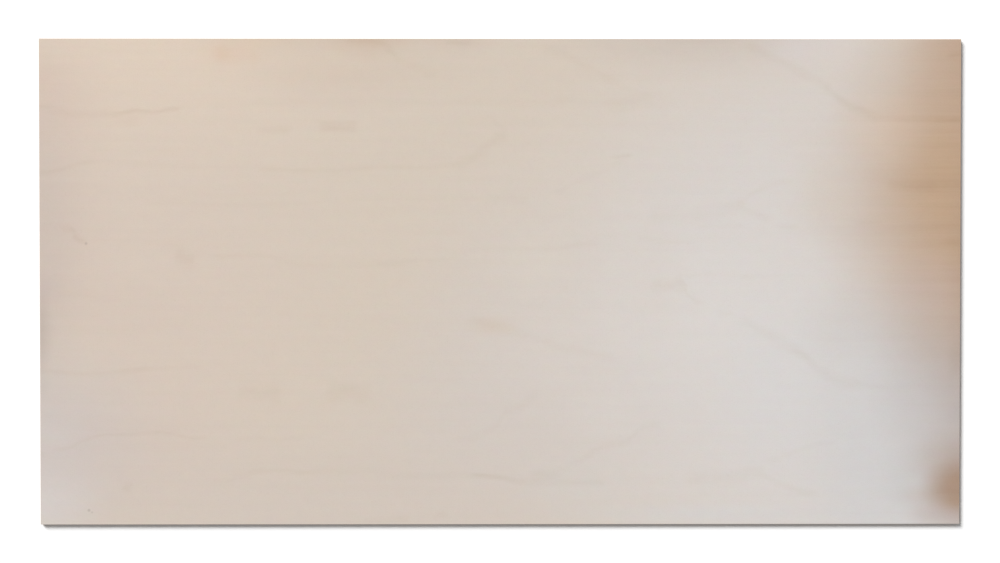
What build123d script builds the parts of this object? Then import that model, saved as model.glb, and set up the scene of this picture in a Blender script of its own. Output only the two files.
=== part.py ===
from build123d import *
import os

# Birch plywood sheet, 12 mm class, one full sheet with sawn edges.
# Origin: middle of the underside. +X along the sheet's length and face grain, +Z up.
# The sheet is one bonded piece, so the lay-up is fused into one solid. Its section
# shows on the four sawn edges, where each veneer's edge is a face of its own.

# Sheet
sheet_length = 2370.0
sheet_width = 1250.0

# Lay-up: an odd number of veneers, each with its grain across the one below it
ply_count = 9
veneer_thickness = 1.4
sanding_depth = 0.3  # taken off each outer veneer when the faces are sanded

# Sawn edges: end grain is harder than long grain, and stands proud of it
end_grain_relief = 0.15
arris_radius = 0.3  # the sharp edge round each face, eased with a sanding block

sheet_thickness = ply_count * veneer_thickness - 2 * sanding_depth


def lay_up():
    """Each veneer's underside, its thickness and whether its grain runs along X."""
    plies = []
    underside = 0.0
    for index in range(ply_count):
        is_outer = index in (0, ply_count - 1)
        thickness = veneer_thickness - (sanding_depth if is_outer else 0.0)
        grain_along_x = index % 2 == 0
        plies.append((underside, thickness, grain_along_x))
        underside += thickness
    return plies


def veneer(underside, thickness, grain_along_x):
    """One trimmed veneer: full size along its grain, set back where its sides show long grain."""
    set_back = 2 * end_grain_relief
    length = sheet_length - (0.0 if grain_along_x else set_back)
    width = sheet_width - (set_back if grain_along_x else 0.0)
    outline = Pos(0, 0, underside) * Rectangle(length, width)
    return extrude(outline, thickness)


def plywood_sheet():
    """The pressed stack of veneers as one solid, with the arris of both faces eased."""
    veneers = [veneer(*ply) for ply in lay_up()]
    sheet = veneers[0].fuse(*veneers[1:])
    faces = sheet.faces().sort_by(Axis.Z)
    arrises = faces[0].edges() + faces[-1].edges()
    return fillet(arrises, arris_radius)


os.makedirs("parts", exist_ok=True)
sheet = plywood_sheet()
sheet.label = "plywood_sheet"
export_step(sheet, "parts/plywood_sheet.step")

size = sheet.bounding_box().size
print(f"plywood_sheet {size.X:.1f} x {size.Y:.1f} x {size.Z:.2f} mm, {ply_count} plies,")
print(f"  lay-up {sheet_thickness:.2f} mm, volume {sheet.volume / 1e9:.5f} m3")
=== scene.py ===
import math

import bpy
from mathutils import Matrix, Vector


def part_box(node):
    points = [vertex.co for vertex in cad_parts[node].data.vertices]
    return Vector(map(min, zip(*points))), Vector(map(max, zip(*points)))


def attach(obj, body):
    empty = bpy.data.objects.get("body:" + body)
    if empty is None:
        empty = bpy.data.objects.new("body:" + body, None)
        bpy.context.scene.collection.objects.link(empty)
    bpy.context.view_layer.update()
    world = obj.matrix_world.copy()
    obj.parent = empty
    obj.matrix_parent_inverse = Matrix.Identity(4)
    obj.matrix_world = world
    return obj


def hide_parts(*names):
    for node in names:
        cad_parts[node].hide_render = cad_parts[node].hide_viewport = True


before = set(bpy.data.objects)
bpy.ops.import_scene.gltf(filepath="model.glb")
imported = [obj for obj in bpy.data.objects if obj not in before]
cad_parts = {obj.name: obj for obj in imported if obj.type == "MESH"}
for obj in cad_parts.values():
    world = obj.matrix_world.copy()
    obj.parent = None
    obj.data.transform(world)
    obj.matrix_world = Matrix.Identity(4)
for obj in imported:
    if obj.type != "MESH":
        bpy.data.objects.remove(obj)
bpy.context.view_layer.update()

mmPerMetre = 1000.0

sheetLow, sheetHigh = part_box("plywood_sheet")
sheetSize = sheetHigh - sheetLow
print("frame loaded, sheet", [round(side * mmPerMetre, 2) for side in sheetSize], "mm")


# small helpers

nodeStep = (190, 260)  # from one node to the next in the editor, across and down
nodesInRow = 12


def hexColour(code):
    # sRGB hex to the linear colour that shaders work in
    parts = [int(code[i:i + 2], 16) / 255 for i in (1, 3, 5)]
    linear = [p / 12.92 if p <= 0.04045 else ((p + 0.055) / 1.055) ** 2.4 for p in parts]
    return (*linear, 1.0)


def addNode(tree, kind, settings=None, inputs=None):
    node = tree.nodes.new(kind)
    row, column = divmod(len(tree.nodes), nodesInRow)
    node.location = (nodeStep[0] * column, -nodeStep[1] * row)
    for name, value in (settings or {}).items():
        setattr(node, name, value)
    for key, value in (inputs or {}).items():
        if isinstance(value, bpy.types.NodeSocket):
            tree.links.new(value, node.inputs[key])
        else:
            node.inputs[key].default_value = value
    return node


def newMaterial(name):
    material = bpy.data.materials.new(name)
    material.use_nodes = True
    material.node_tree.nodes.clear()
    return material, material.node_tree


def newTree(name, kind, inputs, outputs):
    tree = bpy.data.node_groups.new(name, kind)
    for direction, sockets in (("INPUT", inputs), ("OUTPUT", outputs)):
        for label, socketType in sockets:
            tree.interface.new_socket(label, in_out=direction, socket_type=socketType)
    return tree


# figure of the upper face, as it is read off the photograph: places and sizes are in its pixels
photoLength = 920.6  # pixels from one end of the sheet to the other
middlePixel = (500.0, 281.5)  # the sheet's middle
pixel = sheetSize.x * mmPerMetre / photoLength  # in mm of sheet

# tones, stains and painted reflection, from the first laid to the last: middle, radii, the share of the
# radius that has the full tone, the tone and how much of it shows. The pale, cool and bluish washes paint
# the glare of the satin sheen, most of it over the middle and the right. Towards the right end and in the
# lower right corner, the washes are painted darker tan, grey and brown, where that reflection falls off.
# The rest is the veneer's own tone and stains.
upperTones = {
    "warm upper left": ((150, 30), (330, 210), 0.0, "#E2CFBC", 0.75),
    "pink left": ((150, 290), (240, 280), 0.1, "#D8C6B9", 0.5),
    # painted reflection: the glare of the satin sheen, laid as a cool pale wash over the right half
    "painted glare over the right half": ((830, 330), (410, 420), 0.35, "#D9D2CD", 1.0),
    "cool lower middle": ((500, 430), (230, 190), 0.0, "#D1C8C3", 0.5),
    "cool middle": ((500, 330), (140, 260), 0.0, "#D4CBC4", 0.5),
    "cool lower left": ((300, 520), (330, 130), 0.0, "#D0C4BC", 0.5),
    # painted reflection: the brightest part of the glare
    "pale pool of painted glare": ((725, 310), (165, 140), 0.0, "#DFDAD6", 0.45),
    "pale below the slanting line": ((560, 350), (110, 90), 0.0, "#E8E0D9", 0.12),
    "cool right of the pool": ((785, 390), (100, 140), 0.0, "#D8D6D6", 0.6),
    "grey beside the right side": ((860, 325), (80, 70), 0.0, "#C4BFBC", 0.35),
    "grey lower right": ((890, 450), (110, 190), 0.2, "#D1CFCF", 0.8),
    # towards the right end, the washes are painted darker grey, tan and brown, where the painted
    # reflection falls off
    "grey right side": ((990, 360), (140, 190), 0.15, "#B4A8A3", 0.85),
    "grey right corner": ((975, 500), (78, 105), 0.0, "#B6A9A2", 0.85),
    "brown above the corner patch": ((948, 460), (54, 36), 0.0, "#AC9484", 0.32),
    "edge above the corner patch": ((961, 456), (24, 38), 0.0, "#9A7A6C", 0.15),
    "tan right side": ((1000, 185), (210, 235), 0.25, "#BFA185", 1.0),
    "tan upper right": ((1000, 50), (115, 130), 0.3, "#BFA38D", 0.9),
    "golden right": ((880, 128), (62, 52), 0.0, "#DCC8B6", 0.4),
    "tan below the golden": ((822, 195), (50, 66), 0.0, "#D2C2B0", 0.3),
    "pale at the right limb": ((826, 42), (66, 34), 0.0, "#E0D7D7", 0.35),
    "darker right edge": ((972, 250), (36, 170), 0.0, "#A68C78", 0.35),
    "brown band": ((945, 185), (78, 13), 0.0, "#AA8B70", 0.25),
    "brown below the band": ((890, 232), (110, 30), 0.0, "#BAA597", 0.13),
    "mauve below the brown": ((930, 285), (60, 48), 0.0, "#C1ACB7", 0.13),
    "dark spot on the right edge": ((957, 360), (15, 28), 0.0, "#8C7468", 0.13),
    "grey top": ((690, 30), (175, 60), 0.0, "#C8BBB1", 0.6),
    "tan along the upper edge": ((335, 32), (210, 34), 0.0, "#C4AD9A", 0.35),
    "brown at the left limb": ((368, 36), (60, 30), 0.0, "#CAAD96", 0.36),
    "brown between the limbs": ((462, 38), (44, 24), 0.0, "#C0A498", 0.14),
    "tan above the dashes": ((335, 90), (120, 36), 0.0, "#CEBAAE", 0.2),
    "left end shade": ((30, 240), (70, 240), 0.15, "#C4B8AF", 0.5),
    "pink at the left end": ((50, 100), (85, 90), 0.0, "#D2BAAE", 0.35),
    "grey lower left end": ((40, 440), (150, 130), 0.0, "#CCC3BF", 0.75),
    "pale lower left corner": ((45, 505), (80, 62), 0.0, "#D8D2D0", 0.55),
    "pink lower left": ((120, 450), (180, 110), 0.0, "#CBB6B4", 0.13),
    "mauve left end": ((55, 225), (92, 165), 0.0, "#CDB4AA", 0.2),
    "dark left edge": ((34, 330), (24, 62), 0.0, "#A3958F", 0.4),
    # the lower right corner is painted darker brown, where the painted reflection falls off
    "brown patch at the lower right corner": ((962, 488), (47, 37), 0.2, "#9D7858", 0.68),
    "brown streak in the corner patch": ((926, 497), (44, 18), 0.0, "#A2805F", 0.16),
    "brown below the corner patch": ((956, 505), (20, 12), 0.0, "#A8835F", 0.2),
    "pink below the corner patch": ((936, 514), (42, 14), 0.0, "#B9A6A0", 0.35),
    "grey beside the corner patch": ((902, 480), (32, 42), 0.0, "#B3B2AE", 0.15),
    "cool along the lower edge": ((710, 514), (215, 15), 0.0, "#D0D7DE", 0.2),
    "cool above the lower edge": ((575, 485), (80, 45), 0.0, "#CCD7DA", 0.1),
    "tan between limb and dashes": ((350, 70), (185, 30), 0.0, "#C2AA91", 0.13),
    "orange on the upper edge": ((248, 42), (58, 16), 0.0, "#E5C39D", 0.12),
    "bluish on the upper edge": ((788, 49), (42, 29), 0.0, "#E0DFED", 0.13),
    "tan below the right limb": ((903, 122), (34, 40), 0.0, "#C69F85", 0.13),
    "tan above the pool": ((804, 139), (45, 42), 0.0, "#D7BCA5", 0.1),
    "tan left of the pool": ((655, 285), (55, 95), 0.0, "#D4C0AB", 0.11),
    "pale above the corner patch": ((922, 400), (34, 50), 0.0, "#D5D3D6", 0.12),
    "mauve left of the middle": ((125, 312), (115, 55), 0.0, "#C8B2A8", 0.1),
    "pale in the middle": ((530, 262), (58, 50), 0.0, "#EBE3D0", 0.1),
    "pale below the middle": ((600, 415), (65, 45), 0.0, "#E5E1DC", 0.1),
    "smudge under the long flame": ((128, 120), (22, 12), 0.0, "#D0B197", 0.14),
    "pink in the upper left corner": ((46, 76), (36, 26), 0.0, "#D0AE9D", 0.12),
    "mauve on the left edge": ((46, 288), (24, 26), 0.0, "#B9A2AA", 0.15),
    "grey spot below it": ((42, 385), (13, 20), 0.0, "#BCB7B1", 0.2),
    "pale left end of the third flame": ((54, 434), (34, 26), 0.0, "#DFE0DB", 0.1),
    "brown on the upper right edge": ((961, 80), (18, 56), 0.0, "#AF967A", 0.15),
    "brown right of the streak": ((945, 228), (50, 30), 0.0, "#AD8F77", 0.11),
    "grey spot on the right edge": ((961, 412), (18, 20), 0.0, "#A6A1A2", 0.17),
    "tan round the red stains": ((232, 55), (52, 17), 0.0, "#DEBFA6", 0.3),
    "red stain near the upper edge": ((222, 54), (14, 13), 0.0, "#D0A27C", 0.12),
    "small red stain beside it": ((254, 57), (9, 9), 0.0, "#D0A27C", 0.05),
    "orange stain at the slanting line": ((492, 325), (36, 15), 0.0, "#D2A97C", 0.13),
}

# growth lines and the darker patches on them: half width, darkness and the points they pass
# through. Lines that never pass over each other share a row, and a line fades out beyond its ends
# unless the next one takes over there.
upperLines = {
    "long flame, lower edge": {
        "left end": (7, 0.05, [(41, 107), (58, 111), (80, 114), (106, 114)]),
        "dark stretch": (4, 0.1, [(122, 113), (137, 111), (150, 112), (163, 110), (174, 109)]),
        "faint run": (5, 0.015, [(184, 107), (240, 105), (300, 102), (590, 103)]),
        "tip": (12, 0.045, [(614, 104), (632, 102), (646, 98)]),
    },
    "flames cut by the upper edge": {
        "left limb": (7.5, 0.062, [(354, 41), (370, 42), (384, 44)]),
        "left limb, faint end": (8.5, 0.033, [(397, 57), (418, 67), (431, 75)]),
        "middle limb": (8.5, 0.038, [(545, 50), (575, 60), (590, 69), (608, 79)]),
        "middle limb, faint end": (6, 0.018, [(622, 85), (634, 90)]),
        "right limb": (9.5, 0.048, [(750, 47), (768, 56), (788, 66), (802, 73), (818, 82)]),
        "right limb, bend": (8, 0.074, [(832, 93), (842, 101), (856, 109), (872, 115)]),
        "right limb, faint end": (5, 0.03, [(890, 117), (925, 119)]),
        "right limb, dark end": (5, 0.08, [(940, 120), (960, 120)]),
    },
    "second flame, lower edge": {
        "left end": (4.5, 0.042, [(41, 173), (60, 170), (73, 166), (88, 162)]),
        "thin stretch": (4.5, 0.016, [(104, 161), (132, 162)]),
        "faint run": (4.5, 0.013, [(160, 165), (250, 168)]),
        "run": (5, 0.045, [(275, 169), (320, 170), (360, 168)]),
        "run to the tip": (4.5, 0.03, [(385, 167), (420, 167), (446, 165)]),
        "tip": (11, 0.05, [(466, 161), (486, 147), (503, 135)]),
        "inner flame": (5.5, 0.024, [(556, 192), (575, 182), (592, 175), (606, 169), (619, 162)]),
    },
    "second flame, upper edge": {
        "tip": (5, 0.022, [(488, 118), (502, 126)]),
        "first fork, upper limb": (6, 0.03, [(741, 201), (751, 193), (765, 186), (784, 181)]),
    },
    "first fork at the right": {
        "stem": (15, 0.03, [(655, 214), (695, 215), (716, 212)]),
        "fork": (11, 0.045, [(729, 206), (739, 206)]),
        "lower limb": (5.5, 0.05, [(749, 211), (757, 214), (767, 218)]),
        "streak": (4, 0.055, [(860, 222), (875, 222)]),
    },
    "faint line above the middle": {
        "left": (5.5, 0.024, [(150, 202), (225, 204), (300, 203)]),
        "left, thin": (5, 0.014, [(330, 199), (480, 198)]),
        "right": (8, 0.038, [(508, 199), (525, 199)]),
        "below the first fork": (4, 0.025, [(702, 226), (738, 226)]),
        "beside its lower limb": (5, 0.035, [(780, 226), (794, 226)]),
        "right end": (8, 0.06, [(892, 185), (930, 186)]),
    },
    "line across the middle": {
        "left": (6, 0.01, [(130, 239), (170, 245), (205, 252)]),
        "second stretch": (5, 0.028, [(222, 256), (250, 254), (268, 255)]),
        "third stretch": (5, 0.016, [(285, 261), (320, 266), (360, 265)]),
        "dark stretch": (5.5, 0.036, [(385, 263), (406, 261)]),
        "fifth stretch": (4.5, 0.018, [(422, 259), (450, 257), (478, 249)]),
        "last stretch": (5.5, 0.03, [(492, 249), (545, 249), (590, 243)]),
        "second fork, upper limb": (4.5, 0.03, [(690, 276), (706, 273)]),
        "second fork, thin line": (4, 0.016, [(722, 275), (736, 275)]),
        "second fork, dash": (4, 0.045, [(743, 276), (750, 276)]),
        "second fork, thin end": (4, 0.02, [(760, 275), (796, 275)]),
    },
    "spots above the middle": {
        "left": (6, 0.075, [(69, 229), (75, 235), (81, 240)]),
        "blotch": (15, 0.062, [(179, 256), (190, 260)]),
        "middle": (4, 0.025, [(454, 253)]),
        "faint line": (4.5, 0.02, [(645, 238), (663, 241), (686, 242)]),
        "below the second fork": (5, 0.033, [(721, 313), (729, 313)]),
        "right": (6, 0.045, [(953, 241)]),
    },
    "dashes in the long flame": {
        "first": (8, 0.052, [(264, 130), (284, 130)]),
        "second": (9, 0.082, [(322, 127), (350, 127)]),
    },
    "long slanting line": {
        "start": (10.5, 0.03, [(474, 318), (488, 324), (500, 329), (516, 331)]),
        "thin stretch": (7.5, 0.025, [(530, 336), (550, 343)]),
        "thin end": (7.5, 0.036, [(566, 348), (580, 350), (592, 354), (610, 357)]),
        "second fork, stem": (9.5, 0.053, [(655, 285), (672, 284)]),
        "second fork": (14, 0.08, [(681, 283)]),
        "second fork, lower limb": (4.5, 0.05, [(687, 294), (693, 299), (699, 302)]),
        "slant": (9, 0.037, [(742, 320), (756, 327)]),
        "dark slant": (11, 0.047, [(768, 335), (778, 341), (787, 345)]),
        "darkest slant": (10, 0.07, [(799, 352), (806, 357)]),
        "last slant": (10, 0.056, [(819, 370), (831, 377), (848, 382)]),
        "end": (5, 0.026, [(872, 386), (886, 387)]),
    },
    "flame at the left end": {
        "start": (4, 0.046, [(41, 371), (80, 373), (112, 372)]),
        "dark spots": (4.5, 0.055, [(128, 371), (142, 369)]),
        "end": (4, 0.032, [(160, 367), (195, 367)]),
    },
    "blotches below the middle": {
        "left": (15, 0.04, [(243, 391), (262, 391)]),
        "middle": (17, 0.055, [(276, 392)]),
        "right": (18, 0.048, [(330, 392)]),
        "right core": (14, 0.07, [(345, 391)]),
        "right end": (17, 0.043, [(366, 394)]),
    },
    "third flame": {
        "rise": (3.5, 0.052, [(62, 448), (76, 443), (91, 437), (105, 434), (125, 434)]),
        "fall": (3.5, 0.048, [(150, 433), (165, 433), (180, 435), (200, 438)]),
        "faint run": (5, 0.03, [(240, 439), (300, 438)]),
        "limb": (6.5, 0.027, [(458, 438), (480, 435), (495, 426)]),
        "upper limb": (7.5, 0.03, [(505, 412), (520, 406), (534, 397)]),
        "third fork, upper limb": (5, 0.029, [(770, 460), (800, 449), (830, 443)]),
    },
    "fourth flame, lower edge": {
        "rise": (7, 0.026, [(218, 480), (240, 476)]),
        "thin stretch": (4.5, 0.042, [(253, 471), (282, 470), (303, 472)]),
        "faint stretch": (6.5, 0.028, [(322, 470), (366, 470)]),
        "run": (5.5, 0.023, [(384, 475), (430, 476), (464, 475)]),
        "dark stretch": (4.4, 0.085, [(480, 476), (500, 478), (510, 480)]),
        "end": (6, 0.042, [(528, 482), (565, 482), (600, 482)]),
        "third fork, stem": (15, 0.031, [(690, 479), (735, 477)]),
        "third fork": (10, 0.045, [(752, 472), (759, 472)]),
        "third fork, lower limb": (6, 0.043, [(770, 479), (785, 486), (810, 493)]),
    },
    "fourth flame, upper edge": {
        "tip": (9, 0.046, [(537, 475), (553, 473)]),
        "limb": (7, 0.03, [(573, 463), (581, 460), (590, 453)]),
        "upper limb": (6.5, 0.043, [(599, 448), (609, 446), (619, 444), (627, 441)]),
        "faint end": (8, 0.036, [(640, 428), (652, 425)]),
    },
    "single marks": {
        "left end": (8, 0.02, [(66, 292), (90, 293)]),
        "lower left": (9.5, 0.068, [(127, 487)]),
        "on the lower edge": (5, 0.032, [(368, 520), (404, 519)]),
        "spot near it": (6, 0.06, [(442, 514)]),
        "under the middle limb": (6, 0.035, [(557, 99), (567, 99)]),
        "beside the inner flame": (3.6, 0.065, [(613, 156), (625, 155)]),
        "on the upper edge": (5, 0.024, [(670, 42), (735, 41)]),
        "in the corner patch": (4.5, 0.04, [(938, 491), (958, 491)]),
    },
    "more single marks": {
        "left": (5, 0.04, [(43, 453)]),
        "rim of the second dash": (3.2, 0.03, [(325, 123), (349, 123)]),
        "upper": (4, 0.06, [(452, 42), (466, 42)]),
        "upper right corner": (5, 0.065, [(950, 55), (957, 53)]),
    },
}

# pin knots: place, radius and how dark
upperKnots = {
    "left": ((86, 243), 2.2, 0.22),
    "lower left": ((88, 510), 2.2, 0.24),
    "its twin": ((91, 512), 1.6, 0.16),
}

# where the plain grain shows most: middle and radii
upperGrainy = ((1000, 190), (190, 260))

# the lower face doesn't show in the photograph, so its figure is made up, on the same grid
lowerTones = {
    "warm middle": ((420, 250), (430, 260), 0.1, "#DECBB8", 0.7),
    "cool left": ((120, 360), (260, 260), 0.1, "#D3CBC4", 0.8),
    "pale band": ((620, 440), (420, 70), 0.0, "#DED5CC", 0.6),
    "tan lower right": ((930, 470), (210, 120), 0.0, "#C4A88E", 0.7),
    "grey upper right": ((900, 90), (230, 120), 0.0, "#CBC1B8", 0.7),
}
lowerLines = {
    "upper flame, upper edge": {
        "rise": (6, 0.06, [(41, 130), (180, 112), (330, 104)]),
        "run": (5, 0.04, [(420, 102), (560, 106), (690, 118)]),
        "tip": (8, 0.07, [(760, 132), (800, 148)]),
    },
    "upper flame, lower edge": {
        "rise": (6, 0.05, [(120, 196), (260, 184), (420, 180)]),
        "run": (5, 0.035, [(520, 178), (640, 172)]),
        "tip": (8, 0.07, [(720, 166), (790, 155)]),
    },
    "inner flame": {
        "upper edge": (5, 0.045, [(41, 158), (200, 144), (380, 140)]),
        "tip": (7, 0.06, [(470, 142), (520, 150)]),
        "beyond": (5, 0.03, [(860, 250), (961, 244)]),
    },
    "lower flame, upper edge": {
        "tip": (8, 0.07, [(250, 392), (290, 376)]),
        "run": (5, 0.04, [(380, 362), (560, 352), (740, 344)]),
        "end": (6, 0.055, [(860, 338), (961, 330)]),
    },
    "lower flame, lower edge": {
        "tip": (8, 0.065, [(256, 400), (300, 414)]),
        "run": (5, 0.04, [(400, 424), (600, 430), (800, 426)]),
        "end": (6, 0.05, [(880, 420), (961, 414)]),
    },
}
lowerKnots = {
    "middle": ((512, 214), 2.4, 0.5),
}
lowerGrainy = ((960, 500), (260, 180))

face = {
    "base": "#D6C8B9",
    "lateWood": "#B89A62",  # what the growth lines stain the wood towards
    "knot": "#4A3526",
    "knotCore": 0.2,  # share of a knot's radius that has its full tone
    "fade": 8.0,  # pixels over which a line's end fades out
    "joinWithin": 32.0,  # pixels between two lines of a row that are drawn as one
    # noise drawn out along the grain: a cell's length and height in mm, detail, and a shift that
    # keeps one noise from following another
    "wander": (95.0, 24.0, 2.0, 0.0),  # how a growth line wavers
    "uneven": (70.0, 14.0, 3.0, 5.0),  # denser and softer wood along it
    "mottle": (42.0, 26.0, 2.0, 31.0),  # slight changes of hue
    "band": (700.0, 26.0, 2.0, 11.0),  # faint bands along the grain
    "streak": (260.0, 5.5, 3.0, 17.0),  # bundles of fibres
    "fibre": (16.0, 0.5, 2.0, 23.0),  # fibres, drawn thicker than they are so that they show
    "pore": (5.0, 0.3, 0.0, 41.0),  # open pores, drawn larger too
    "noiseRoughness": 0.55,
    "slide": (1.0, 1.7),  # which way a seed slides the sheet over the endless pattern
    # how much each of them does
    "wanderBy": (10.0, 3.6),  # pixels, for a whole unit of noise: it strays a quarter of that
    "unevenBy": (0.7, 1.35),
    "mottleBy": 0.045,
    "bandDark": 0.062,
    "streakDark": 0.018,
    "calm": 0.25,  # how much of both shows in quiet wood, and where it is grainy
    "grainy": 1.8,
    "fibreDark": 0.05,
    "poreFrom": (0.72, 0.82),  # the noise's peaks that are pores
    "poreDark": 0.18,
    "roughness": (0.62, 0.74),
    "fibreHeight": 0.00003,
    "bump": 0.4,
    "backSeed": 53.0,  # moves every noise along for the lower face
}

# a curve runs from 0 to 1, so places are drawn in thousands of pixels and half widths in hundreds
placeUnit = 1000
widthUnit = 100

usualNoise = {"From Min": 0.3, "From Max": 0.7}  # where most of a noise lies


def softPatchGroup():
    # an elliptical wash of one tone with a soft rim, over the colour so far
    tree = newTree("softPatch", "ShaderNodeTree", [
        ("Colour", "NodeSocketColor"), ("Place", "NodeSocketVector"), ("Middle", "NodeSocketVector"),
        ("Radii", "NodeSocketVector"), ("Core", "NodeSocketFloat"), ("Tone", "NodeSocketColor"),
        ("Strength", "NodeSocketFloat")], [("Colour", "NodeSocketColor")])
    given = addNode(tree, "NodeGroupInput")
    away = addNode(tree, "ShaderNodeVectorMath", {"operation": "SUBTRACT"},
                   {0: given.outputs["Place"], 1: given.outputs["Middle"]})
    share = addNode(tree, "ShaderNodeVectorMath", {"operation": "DIVIDE"},
                    {0: away.outputs[0], 1: given.outputs["Radii"]})
    distance = addNode(tree, "ShaderNodeVectorMath", {"operation": "LENGTH"}, {0: share.outputs[0]})
    weight = addNode(tree, "ShaderNodeMapRange", {"interpolation_type": "SMOOTHSTEP"},
                     {"Value": distance.outputs["Value"], "From Min": given.outputs["Core"],
                      "From Max": 1.0, "To Min": given.outputs["Strength"], "To Max": 0.0})
    mixed = addNode(tree, "ShaderNodeMix", {"data_type": "RGBA"},
                    {0: weight.outputs["Result"], 6: given.outputs["Colour"], 7: given.outputs["Tone"]})
    addNode(tree, "NodeGroupOutput", None, {"Colour": mixed.outputs[2]})
    return tree


def growthLineGroup():
    # darkness near a line whose height, darkness and half width come from three curves
    tree = newTree("growthLine", "ShaderNodeTree", [
        ("Dark", "NodeSocketFloat"), ("Across", "NodeSocketFloat"), ("Line", "NodeSocketColor")],
        [("Dark", "NodeSocketFloat")])
    given = addNode(tree, "NodeGroupInput")
    line = addNode(tree, "ShaderNodeSeparateColor", None, {0: given.outputs["Line"]})
    away = addNode(tree, "ShaderNodeMath", {"operation": "SUBTRACT"},
                   {0: given.outputs["Across"], 1: line.outputs[0]})
    near = addNode(tree, "ShaderNodeMath", {"operation": "ABSOLUTE"}, {0: away.outputs[0]})
    share = addNode(tree, "ShaderNodeMath", {"operation": "DIVIDE"},
                    {0: near.outputs[0], 1: line.outputs[2]})
    here = addNode(tree, "ShaderNodeMapRange", {"interpolation_type": "SMOOTHSTEP"},
                   {"Value": share.outputs[0], "From Min": 0.0, "From Max": widthUnit / placeUnit,
                    "To Min": line.outputs[1], "To Max": 0.0})
    total = addNode(tree, "ShaderNodeMath", {"operation": "ADD"},
                    {0: here.outputs["Result"], 1: given.outputs["Dark"]})
    addNode(tree, "NodeGroupOutput", None, {"Dark": total.outputs[0]})
    return tree


softPatch = softPatchGroup()
growthLine = growthLineGroup()


def rowPoints(row):
    # a row's lines as one run of points, with a fade wherever the next line isn't close
    marks = []
    fade = face["fade"]
    for halfWidth, dark, points in row.values():
        x, y = points[0]
        if not marks or x - marks[-1][0] > face["joinWithin"]:
            if marks:
                marks.append((marks[-1][0] + fade, *marks[-1][1:3], 0.0))
            marks.append((x - fade, y, halfWidth, 0.0))
        marks += [(x, y, halfWidth, dark) for x, y in points]
    marks.append((marks[-1][0] + fade, *marks[-1][1:3], 0.0))
    return marks


def lineCurves(tree, along, points):
    # height, darkness and half width along the sheet, each through the row's points
    node = addNode(tree, "ShaderNodeRGBCurve", None, {"Color": along})
    for curve, column, unit in zip(node.mapping.curves, (1, 3, 2), (placeUnit, 1, widthUnit)):
        while len(curve.points) < len(points):
            curve.points.new(0.5, 0.5)
        for handle, point in zip(curve.points, points):
            handle.location = (point[0] / placeUnit, point[column] / unit)
            handle.handle_type = "AUTO_CLAMPED"
    node.mapping.extend = "HORIZONTAL"
    node.mapping.update()
    return node.outputs["Color"]


def grainNoise(tree, place, grain, seed):
    # one of the face's noises
    length, height, detail, shift = face[grain]
    slideX, slideY = (part * (seed + shift) for part in face["slide"])
    cells = addNode(tree, "ShaderNodeMapping", {"vector_type": "POINT"},
                    {"Vector": place, "Location": (slideX, slideY, 0.0),
                     "Scale": (1 / length, 1 / height, 1.0)})
    return addNode(tree, "ShaderNodeTexNoise", {"noise_dimensions": "2D"},
                   {"Vector": cells.outputs[0], "Scale": 1.0, "Detail": detail,
                    "Roughness": face["noiseRoughness"]})


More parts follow.
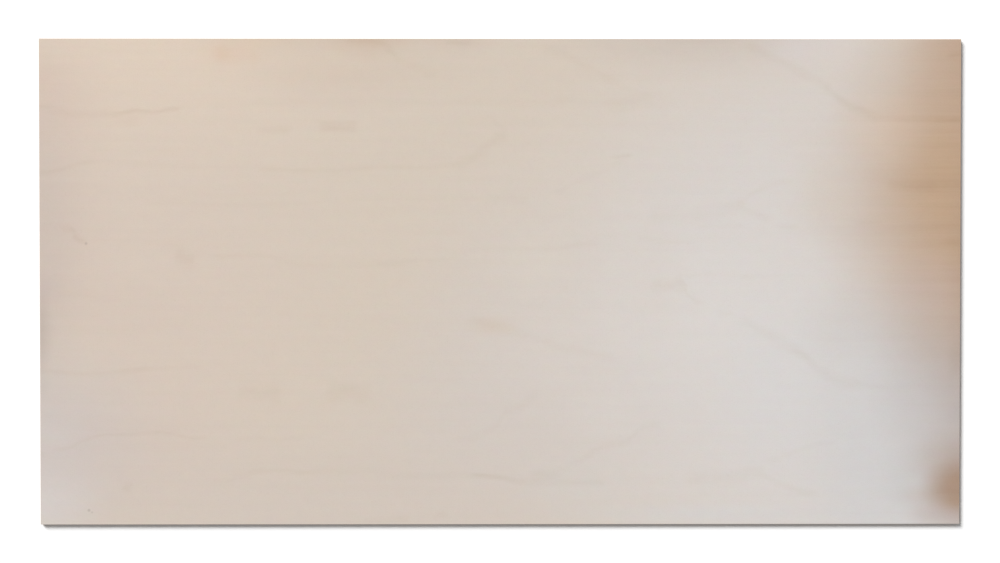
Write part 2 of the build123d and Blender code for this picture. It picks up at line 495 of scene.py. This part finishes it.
def faceVeneer(name, tones, lines, knots, grainy, seed):
    # Birch, peeled off the log in one long sheet and sanded: pale and even, with wide soft
    # flames where the knife runs along the growth rings, and short fine pores over all.
    material, tree = newMaterial(name)
    coords = addNode(tree, "ShaderNodeTexCoord")
    sheetPlace = addNode(tree, "ShaderNodeVectorMath", {"operation": "MULTIPLY"},
                         {0: coords.outputs["Object"], 1: (mmPerMetre, mmPerMetre, 0.0)}).outputs[0]
    photoPlace = addNode(tree, "ShaderNodeMapping", {"vector_type": "POINT"},
                         {"Vector": sheetPlace, "Location": (*middlePixel, 0.0),
                          "Scale": (1 / pixel, -1 / pixel, 1.0)}).outputs[0]

    # washes of the wood's own tone and stains, with a painted reflection of the sheen, laid one over the
    # other
    colour = hexColour(face["base"])
    for (x, y), (radiusX, radiusY), core, tone, strength in tones.values():
        colour = addNode(tree, "ShaderNodeGroup", {"node_tree": softPatch},
                         {"Colour": colour, "Place": photoPlace, "Middle": (x, y, 0.0),
                          "Radii": (radiusX, radiusY, 1.0), "Core": core, "Tone": hexColour(tone),
                          "Strength": strength}).outputs["Colour"]
    hues = grainNoise(tree, sheetPlace, "mottle", seed).outputs["Color"]
    hueShift = addNode(tree, "ShaderNodeVectorMath", {"operation": "MULTIPLY_ADD"},
                       {0: hues, 1: (face["mottleBy"],) * 3, 2: (1 - face["mottleBy"] / 2,) * 3})
    colour = addNode(tree, "ShaderNodeMix", {"data_type": "RGBA", "blend_type": "MULTIPLY"},
                     {0: 1.0, 6: colour, 7: hueShift.outputs[0]}).outputs[2]

    # growth lines waver, so they are drawn on a place that wanders a little
    waves = grainNoise(tree, sheetPlace, "wander", seed).outputs["Color"]
    centred = addNode(tree, "ShaderNodeVectorMath", {"operation": "SUBTRACT"},
                      {0: waves, 1: (0.5, 0.5, 0.5)})
    wandered = addNode(tree, "ShaderNodeVectorMath", {"operation": "MULTIPLY_ADD"},
                       {0: centred.outputs[0], 1: (*face["wanderBy"], 0.0), 2: photoPlace})
    inUnits = addNode(tree, "ShaderNodeVectorMath", {"operation": "SCALE"},
                      {0: wandered.outputs[0], "Scale": 1 / placeUnit})
    along, across, _ = addNode(tree, "ShaderNodeSeparateXYZ", None, {0: inUnits.outputs[0]}).outputs
    dark = 0.0
    for row in lines.values():
        curves = lineCurves(tree, along, rowPoints(row))
        dark = addNode(tree, "ShaderNodeGroup", {"node_tree": growthLine},
                       {"Dark": dark, "Across": across, "Line": curves}).outputs["Dark"]

    # the lines come and go, as the knife passes denser and softer wood
    uneven = grainNoise(tree, sheetPlace, "uneven", seed).outputs["Fac"]
    density = addNode(tree, "ShaderNodeMapRange", None,
                      {**usualNoise, "Value": uneven, "To Min": face["unevenBy"][0],
                       "To Max": face["unevenBy"][1]}).outputs[0]
    dark = addNode(tree, "ShaderNodeMath", {"operation": "MULTIPLY"}, {0: dark, 1: density}).outputs[0]

    # plain grain between them
    noises = {}
    shades = {}
    for grain, depth in (("band", face["bandDark"]), ("streak", face["streakDark"]),
                         ("fibre", face["fibreDark"])):
        noises[grain] = grainNoise(tree, sheetPlace, grain, seed).outputs["Fac"]
        shades[grain] = addNode(tree, "ShaderNodeMapRange", None,
                                {**usualNoise, "Value": noises[grain], "To Min": -depth / 2,
                                 "To Max": depth / 2}).outputs[0]
    pores = addNode(tree, "ShaderNodeMapRange", None,
                    {"Value": grainNoise(tree, sheetPlace, "pore", seed).outputs["Fac"],
                     "From Min": face["poreFrom"][0], "From Max": face["poreFrom"][1],
                     "To Min": 0.0, "To Max": face["poreDark"]}).outputs[0]

    # bands and streaks are stronger in one part: their strength is laid as a wash of grey
    strong = addNode(tree, "ShaderNodeGroup", {"node_tree": softPatch},
                     {"Colour": (face["calm"],) * 4, "Place": photoPlace, "Middle": (*grainy[0], 0.0),
                      "Radii": (*grainy[1], 1.0), "Core": 0.0, "Tone": (face["grainy"],) * 4,
                      "Strength": 1.0}).outputs["Colour"]
    plain = addNode(tree, "ShaderNodeMath", {"operation": "ADD"},
                    {0: shades["band"], 1: shades["streak"]}).outputs[0]
    plain = addNode(tree, "ShaderNodeMath", {"operation": "MULTIPLY"}, {0: plain, 1: strong}).outputs[0]
    for shade in (plain, shades["fibre"], pores):
        dark = addNode(tree, "ShaderNodeMath", {"operation": "ADD"}, {0: dark, 1: shade}).outputs[0]

    colour = addNode(tree, "ShaderNodeMix",
                     {"data_type": "RGBA", "blend_type": "MULTIPLY", "clamp_factor": False},
                     {0: dark, 6: colour, 7: hexColour(face["lateWood"])}).outputs[2]
    for (x, y), radius, strength in knots.values():
        colour = addNode(tree, "ShaderNodeGroup", {"node_tree": softPatch},
                         {"Colour": colour, "Place": photoPlace, "Middle": (x, y, 0.0),
                          "Radii": (radius, radius, 1.0), "Core": face["knotCore"],
                          "Tone": hexColour(face["knot"]), "Strength": strength}).outputs["Colour"]

    roughness = addNode(tree, "ShaderNodeMapRange", None,
                        {**usualNoise, "Value": noises["streak"], "To Min": face["roughness"][0],
                         "To Max": face["roughness"][1]}).outputs[0]
    bump = addNode(tree, "ShaderNodeBump", None,
                   {"Strength": face["bump"], "Distance": face["fibreHeight"],
                    "Height": noises["fibre"]})
    shader = addNode(tree, "ShaderNodeBsdfPrincipled", None,
                     {"Base Color": colour, "Roughness": roughness, "Normal": bump.outputs["Normal"]})
    addNode(tree, "ShaderNodeOutputMaterial", None, {"Surface": shader.outputs[0]})
    return material


upperVeneer = faceVeneer("birchRotaryCutSanded", upperTones, upperLines, upperKnots, upperGrainy, 0.0)
lowerVeneer = faceVeneer("birchRotaryCutSandedBack", lowerTones, lowerLines, lowerKnots, lowerGrainy,
                         face["backSeed"])
print("face veneers:", len(upperLines), "rows of growth lines above,", len(lowerLines), "below")


# sawn edges

edge = {
    # wood and its darker grain, a grain's size in mm along both sides and up the edge (larger
    # than in real wood, so that it shows), how much the grain shows, and roughness
    "longGrain": ("#D3BFA8", "#BBA184", (9.0, 9.0, 0.16), 0.8, 0.6),
    "endGrain": ("#B2967A", "#6B4F38", (0.35, 0.35, 0.22), 0.5, 0.75),
    "cluster": (5.0, 5.0, 0.9),  # where grains or pores lie closer, in mm
    "clusterBy": (0.6, 1.4),
    "grainDetail": 2.0,
    "sawMark": 1.3,  # mm from one tooth mark to the next
    "sawDetail": 1.0,
    "sawDepth": 0.00003,
    "sawDark": 0.09,
    "bump": 0.5,
    "glue": "#6E5140",
    "glueRoughness": 0.4,
}


def edgeVeneer(name, light, dark, grainSize, contrast, roughness):
    # One veneer's edge, cut by a circular saw: what the wood shows there, crossed by the
    # upright marks of the teeth.
    material, tree = newMaterial(name)
    coords = addNode(tree, "ShaderNodeTexCoord")
    place = addNode(tree, "ShaderNodeVectorMath", {"operation": "SCALE"},
                    {0: coords.outputs["Object"], "Scale": mmPerMetre}).outputs[0]

    shares = []
    for size, (low, high) in ((grainSize, (0.0, contrast)), (edge["cluster"], edge["clusterBy"])):
        scaled = addNode(tree, "ShaderNodeVectorMath", {"operation": "DIVIDE"}, {0: place, 1: size})
        cells = addNode(tree, "ShaderNodeTexNoise", None,
                        {"Vector": scaled.outputs[0], "Scale": 1.0, "Detail": edge["grainDetail"]})
        shares.append(addNode(tree, "ShaderNodeMapRange", None,
                              {**usualNoise, "Value": cells.outputs["Fac"], "To Min": low,
                               "To Max": high}).outputs[0])
    grain = addNode(tree, "ShaderNodeMath", {"operation": "MULTIPLY", "use_clamp": True},
                    {0: shares[0], 1: shares[1]})
    wood = addNode(tree, "ShaderNodeMix", {"data_type": "RGBA"},
                   {0: grain.outputs[0], 6: hexColour(light), 7: hexColour(dark)}).outputs[2]

    # x + y runs along whichever edge this is, because the other one hardly changes there
    x, y, _ = addNode(tree, "ShaderNodeSeparateXYZ", None, {0: place}).outputs
    run = addNode(tree, "ShaderNodeMath", {"operation": "ADD"}, {0: x, 1: y}).outputs[0]
    marks = addNode(tree, "ShaderNodeTexNoise", {"noise_dimensions": "1D"},
                    {"W": run, "Scale": 1 / edge["sawMark"], "Detail": edge["sawDetail"]}).outputs["Fac"]
    shade = addNode(tree, "ShaderNodeMapRange", None,
                    {**usualNoise, "Value": marks, "To Min": 1 - edge["sawDark"], "To Max": 1.0})
    sawn = addNode(tree, "ShaderNodeVectorMath", {"operation": "SCALE"},
                   {0: wood, "Scale": shade.outputs[0]}).outputs[0]
    bump = addNode(tree, "ShaderNodeBump", None,
                   {"Strength": edge["bump"], "Distance": edge["sawDepth"], "Height": marks})
    shader = addNode(tree, "ShaderNodeBsdfPrincipled", None,
                     {"Base Color": sawn, "Roughness": roughness, "Normal": bump.outputs["Normal"]})
    addNode(tree, "ShaderNodeOutputMaterial", None, {"Surface": shader.outputs[0]})
    return material


def glueLine(name):
    # Phenolic resin, set hot under the press: a thin hard line, red-brown and a little glossy.
    material, tree = newMaterial(name)
    shader = addNode(tree, "ShaderNodeBsdfPrincipled", None,
                     {"Base Color": hexColour(edge["glue"]), "Roughness": edge["glueRoughness"]})
    addNode(tree, "ShaderNodeOutputMaterial", None, {"Surface": shader.outputs[0]})
    return material


# Birch sawn along its grain: pale, with fine fibres that run along the edge.
longGrain = edgeVeneer("birchEdgeLongGrain", *edge["longGrain"])
# Birch sawn across its grain: cut fibre ends drink in light, so it is darker, and dotted with pores.
endGrain = edgeVeneer("birchEdgeEndGrain", *edge["endGrain"])
glue = glueLine("phenolicGlueLine")
print("edge materials made")


# the lay-up, with its sizes in metres

layUp = {
    "plyCount": 9,
    "veneer": 0.0014,
    "glueLine": 0.00012,
    "endGrainRelief": 0.00015,
    "arris": 0.0003,
    "arrisSegments": 3,
}
layUp["sanding"] = (layUp["plyCount"] * layUp["veneer"] - sheetSize.z) / 2

# how the lay-up is worked out: each line is one Math node, with its operation and what it takes.
# A ring is four corners at one level, two rings to a ply: its underside and its top. On a face,
# a ring's number is the mean of its corners', so strips fall half way between.
layUpSums = {
    # heights: each ply's underside and top, thinner by the sanding on the outer two, and half a
    # glue line short of its neighbours
    "halfRing": ("DIVIDE", "ring", 2.0),
    "ply": ("FLOOR", "halfRing"),
    "undersideRing": ("MULTIPLY", "ply", 2.0),
    "isTop": ("SUBTRACT", "ring", "undersideRing"),
    "joint": ("ADD", "ply", "isTop"),
    "aboveFirst": ("GREATER_THAN", "joint", 0.5),
    "nearLast": ("SUBTRACT", "Ply Count", 0.5),
    "atLast": ("GREATER_THAN", "joint", "nearLast"),
    "sandedFaces": ("ADD", "aboveFirst", "atLast"),
    "sandedOff": ("MULTIPLY", "sandedFaces", "Sanding"),
    "unsanded": ("MULTIPLY", "joint", "Veneer"),
    "height": ("SUBTRACT", "unsanded", "sandedOff"),
    "isGlued": ("SUBTRACT", "aboveFirst", "atLast"),
    "glueSide": ("SUBTRACT", 0.5, "isTop"),
    "halfGlue": ("MULTIPLY", "glueSide", "Glue Line"),
    "inset": ("MULTIPLY", "halfGlue", "isGlued"),
    "level": ("ADD", "height", "inset"),
    # every second ply lies across: end grain stands proud, long grain is set back
    "crossed": ("MODULO", "ply", 2.0),
    "setBackX": ("MULTIPLY", "crossed", "End Grain Relief"),
    "setBackY": ("SUBTRACT", "End Grain Relief", "setBackX"),
    "halfLength": ("DIVIDE", "Length", 2.0),
    "halfWidth": ("DIVIDE", "Width", 2.0),
    "reachX": ("SUBTRACT", "halfLength", "setBackX"),
    "reachY": ("SUBTRACT", "halfWidth", "setBackY"),
    # the tube's corners lie on its axes, and go to the sheet's corners
    "towardsX": ("SUBTRACT", "x", "y"),
    "towardsY": ("ADD", "x", "y"),
    "signX": ("SIGN", "towardsX"),
    "signY": ("SIGN", "towardsY"),
    "cornerX": ("MULTIPLY", "signX", "reachX"),
    "cornerY": ("MULTIPLY", "signY", "reachY"),
    # the rim of both faces, for the bevel that eases it
    "middleRing": ("DIVIDE", "lastRing", 2.0),
    "offMiddle": ("SUBTRACT", "ring", "middleRing"),
    "fromMiddle": ("ABSOLUTE", "offMiddle"),
    "nearRim": ("SUBTRACT", "middleRing", 0.25),
    "onRim": ("GREATER_THAN", "fromMiddle", "nearRim"),
    # what a strip of the sides shows
    "facesEnd": ("ABSOLUTE", "normalX"),
    "onEnds": ("GREATER_THAN", "facesEnd", 0.5),
    "unlike": ("SUBTRACT", "onEnds", "crossed"),
    "howUnlike": ("ABSOLUTE", "unlike"),
    "isEndGrain": ("GREATER_THAN", "howUnlike", 0.5),
    "sideEndGrain": ("MULTIPLY", "isEndGrain", "side"),
    "ringInPly": ("MODULO", "ring", 2.0),
    "isGlue": ("GREATER_THAN", "ringInPly", 1.25),
    "sideGlue": ("MULTIPLY", "isGlue", "side"),
}


def layUpTree():
    tree = newTree("veneerLayUp", "GeometryNodeTree", [
        ("Length", "NodeSocketFloat"), ("Width", "NodeSocketFloat"), ("Ply Count", "NodeSocketInt"),
        ("Veneer", "NodeSocketFloat"), ("Sanding", "NodeSocketFloat"), ("Glue Line", "NodeSocketFloat"),
        ("End Grain Relief", "NodeSocketFloat"), ("Upper Face", "NodeSocketMaterial"),
        ("Lower Face", "NodeSocketMaterial"), ("Long Grain", "NodeSocketMaterial"),
        ("End Grain", "NodeSocketMaterial"), ("Glue", "NodeSocketMaterial")],
        [("Sheet", "NodeSocketGeometry")])
    given = addNode(tree, "NodeGroupInput")

    # a square tube of rings, numbered from the lowest
    lastRing = addNode(tree, "ShaderNodeMath", {"operation": "MULTIPLY_ADD"},
                       {0: given.outputs["Ply Count"], 1: 2.0, 2: -1.0}).outputs[0]
    tube = addNode(tree, "GeometryNodeMeshCylinder", {"fill_type": "NGON"},
                   {"Vertices": 4, "Side Segments": lastRing, "Fill Segments": 1,
                    "Radius": 1.0, "Depth": 1.0})
    place = addNode(tree, "GeometryNodeInputPosition").outputs[0]
    x, y, z = addNode(tree, "ShaderNodeSeparateXYZ", None, {0: place}).outputs
    share = addNode(tree, "ShaderNodeMath", {"operation": "ADD"}, {0: z, 1: 0.5})
    number = addNode(tree, "ShaderNodeMath", {"operation": "MULTIPLY"}, {0: share.outputs[0], 1: lastRing})
    whole = addNode(tree, "ShaderNodeMath", {"operation": "ROUND"}, {0: number.outputs[0]})
    numbered = addNode(tree, "GeometryNodeStoreNamedAttribute", {"data_type": "FLOAT", "domain": "POINT"},
                       {"Geometry": tube.outputs["Mesh"], "Name": "ring", "Value": whole.outputs[0]})
    ring = addNode(tree, "GeometryNodeInputNamedAttribute", {"data_type": "FLOAT"},
                   {"Name": "ring"}).outputs["Attribute"]
    normal = addNode(tree, "GeometryNodeInputNormal").outputs[0]
    normalX = addNode(tree, "ShaderNodeSeparateXYZ", None, {0: normal}).outputs[0]

    known = {socket.name: socket for socket in given.outputs}
    known.update({"lastRing": lastRing, "ring": ring, "x": x, "y": y, "normalX": normalX,
                  "side": tube.outputs["Side"]})
    for name, (operation, *takes) in layUpSums.items():
        inputs = {index: known.get(take, take) for index, take in enumerate(takes)}
        known[name] = addNode(tree, "ShaderNodeMath", {"operation": operation, "label": name},
                              inputs).outputs[0]

    placed = addNode(tree, "ShaderNodeCombineXYZ", None,
                     {0: known["cornerX"], 1: known["cornerY"], 2: known["level"]})
    shaped = addNode(tree, "GeometryNodeSetPosition", None,
                     {"Geometry": numbered.outputs[0], "Position": placed.outputs[0]})
    rimmed = addNode(tree, "GeometryNodeStoreNamedAttribute", {"data_type": "FLOAT", "domain": "EDGE"},
                     {"Geometry": shaped.outputs[0], "Name": "bevel_weight_edge", "Value": known["onRim"]})
    geometry = addNode(tree, "GeometryNodeRealizeInstances", None,
                       {"Geometry": rimmed.outputs[0]}).outputs[0]
    for selection, slot in ((True, "Upper Face"), (tube.outputs["Bottom"], "Lower Face"),
                            (tube.outputs["Side"], "Long Grain"), (known["sideEndGrain"], "End Grain"),
                            (known["sideGlue"], "Glue")):
        geometry = addNode(tree, "GeometryNodeSetMaterial", None,
                           {"Geometry": geometry, "Selection": selection,
                            "Material": given.outputs[slot]}).outputs[0]
    addNode(tree, "NodeGroupOutput", None, {0: geometry})
    return tree


def buildSheet():
    piece = bpy.data.objects.new("birch_plywood_sheet", bpy.data.meshes.new("birch_plywood_sheet"))
    bpy.context.scene.collection.objects.link(piece)
    pressed = piece.modifiers.new("pressed", "NODES")
    pressed.node_group = layUpTree()
    values = {"Length": sheetSize.x, "Width": sheetSize.y, "Ply Count": layUp["plyCount"],
              "Veneer": layUp["veneer"], "Sanding": layUp["sanding"], "Glue Line": layUp["glueLine"],
              "End Grain Relief": layUp["endGrainRelief"], "Upper Face": upperVeneer,
              "Lower Face": lowerVeneer, "Long Grain": longGrain, "End Grain": endGrain, "Glue": glue}
    for item in pressed.node_group.interface.items_tree:
        if item.name in values:
            pressed[item.identifier] = values[item.name]
    eased = piece.modifiers.new("eased", "BEVEL")
    eased.limit_method = "WEIGHT"
    eased.width = layUp["arris"]
    eased.segments = layUp["arrisSegments"]
    graph = bpy.context.evaluated_depsgraph_get()
    made = bpy.data.meshes.new_from_object(piece.evaluated_get(graph), depsgraph=graph)
    piece.modifiers.clear()
    made.materials.pop(index=0)  # the cylinder's own empty slot
    piece.data = made
    for name in ("ring", "bevel_weight_edge"):
        if name in made.attributes:
            made.attributes.remove(made.attributes[name])
    return piece


# where each side of the sheet lies on its texture, from the lower edge up, as shares of the
# texture's height; the upper face keeps its own proportions
textureBands = {
    "front": (0.003, 0.047),
    "back": (0.053, 0.097),
    "left": (0.103, 0.147),
    "right": (0.153, 0.197),
    "lower": (0.205, 0.455),
    "upper": (0.462, 0.997),
}
flatFrom = 0.99  # a polygon whose normal stands this upright lies flat
levelDigits = 6  # corners on one level agree to the micron


def layTexture(mesh):
    # The faces are laid flat. Edges are laid by level, not by height, so that a thin glue line
    # gets as much of the texture as a veneer does.
    levels = sorted({round(vertex.co.z, levelDigits) for vertex in mesh.vertices})
    layer = mesh.uv_layers.new(name="OFBake")
    for polygon in mesh.polygons:
        normal = polygon.normal
        isFlat = abs(normal.z) > flatFrom
        onEnd = abs(normal.x) > abs(normal.y)
        if isFlat:
            side = "upper" if normal.z > 0 else "lower"
        elif onEnd:
            side = "right" if normal.x > 0 else "left"
        else:
            side = "back" if normal.y > 0 else "front"
        low, high = textureBands[side]
        for loop in polygon.loop_indices:
            corner = mesh.vertices[mesh.loops[loop].vertex_index].co
            alongX = (corner.x - sheetLow.x) / sheetSize.x
            alongY = (corner.y - sheetLow.y) / sheetSize.y
            level = levels.index(round(corner.z, levelDigits)) / (len(levels) - 1)
            u = alongY if onEnd and not isFlat else alongX
            v = alongY if isFlat else level
            layer.data[loop].uv = (u, low + (high - low) * v)


sheet = buildSheet()
layTexture(sheet.data)
print("sheet:", len(sheet.data.polygons), "faces,", [m.name for m in sheet.data.materials])
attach(sheet, "root")
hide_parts("plywood_sheet")


# stage, light and camera

studio = {
    "floorSide": 60.0,
    "floorDrop": 0.0002,  # just clear of the sheet
    "floorTone": "#E8E6E3",  # as it is lit, for what stands on it
    "floorWhite": 1.11,  # floor as the camera sees it: just past white under this light
    "skyLight": 0.25,
    "sunLight": 0.71,  # what the sun lays on the floor; with the sky's, colours show as written
    "sunSlope": (0.87, -1.02),  # how far a shadow falls right and down for each unit of height
    "sunWidth": 28.0,
    "lens": 60.0,
    "sensor": 36.0,
    "cameraPlace": (-0.0241, 0.0640, 4.3027),
    "cameraTilt": (-0.836, -0.300, 0.0),  # degrees off straight down
    "clipEnd": 200.0,
}


def whiteForCamera(tree):
    # 1 where the camera looks, directly or through a reflection
    path = addNode(tree, "ShaderNodeLightPath")
    seen = path.outputs["Is Camera Ray"]
    for ray in ("Is Glossy Ray", "Is Transmission Ray"):
        seen = addNode(tree, "ShaderNodeMath", {"operation": "MAXIMUM"},
                       {0: seen, 1: path.outputs[ray]}).outputs[0]
    return seen


def buildStage():
    half = studio["floorSide"] / 2
    low = sheetLow.z - studio["floorDrop"]
    mesh = bpy.data.meshes.new("floor")
    corners = [(-half, -half, low), (half, -half, low), (half, half, low), (-half, half, low)]
    mesh.from_pydata(corners, [], [(0, 1, 2, 3)])
    floor = bpy.data.objects.new("floor", mesh)
    bpy.context.scene.collection.objects.link(floor)
    # Matte wall paint, rolled on: even and without any shine, so only the shadow shows on it.
    material, tree = newMaterial("matteFloorPaint")
    white = (studio["floorWhite"],) * 3 + (1.0,)
    tone = addNode(tree, "ShaderNodeMix", {"data_type": "RGBA"},
                   {0: whiteForCamera(tree), 6: hexColour(studio["floorTone"]), 7: white})
    paint = addNode(tree, "ShaderNodeBsdfDiffuse", None, {"Color": tone.outputs[2]})
    addNode(tree, "ShaderNodeOutputMaterial", None, {"Surface": paint.outputs[0]})
    mesh.materials.append(material)


def buildLight():
    world = bpy.data.worlds.new("studio")
    bpy.context.scene.world = world
    world.use_nodes = True
    tree = world.node_tree
    tree.nodes.clear()
    soft = addNode(tree, "ShaderNodeBackground", None,
                   {"Color": (1.0, 1.0, 1.0, 1.0), "Strength": studio["skyLight"]})
    white = addNode(tree, "ShaderNodeBackground", None, {"Color": (1.0, 1.0, 1.0, 1.0), "Strength": 1.0})
    both = addNode(tree, "ShaderNodeMixShader", None,
                   {0: whiteForCamera(tree), 1: soft.outputs[0], 2: white.outputs[0]})
    addNode(tree, "ShaderNodeOutputWorld", None, {"Surface": both.outputs[0]})

    beam = Vector((*studio["sunSlope"], -1.0)).normalized()
    lamp = bpy.data.lights.new("keyLight", "SUN")
    lamp.energy = studio["sunLight"] * math.pi / -beam.z
    lamp.angle = math.radians(studio["sunWidth"])
    key = bpy.data.objects.new("keyLight", lamp)
    key.rotation_euler = beam.to_track_quat("-Z", "Y").to_euler()
    bpy.context.scene.collection.objects.link(key)


def buildCamera():
    data = bpy.data.cameras.new("fromAbove")
    data.lens = studio["lens"]
    data.sensor_width = studio["sensor"]
    data.clip_end = studio["clipEnd"]
    camera = bpy.data.objects.new("fromAbove", data)
    camera.location = studio["cameraPlace"]
    camera.rotation_euler = [math.radians(angle) for angle in studio["cameraTilt"]]
    bpy.context.scene.collection.objects.link(camera)
    bpy.context.scene.camera = camera


buildStage()
buildLight()
buildCamera()
bpy.context.scene.view_settings.view_transform = "Standard"
print("stage, light and camera ready")
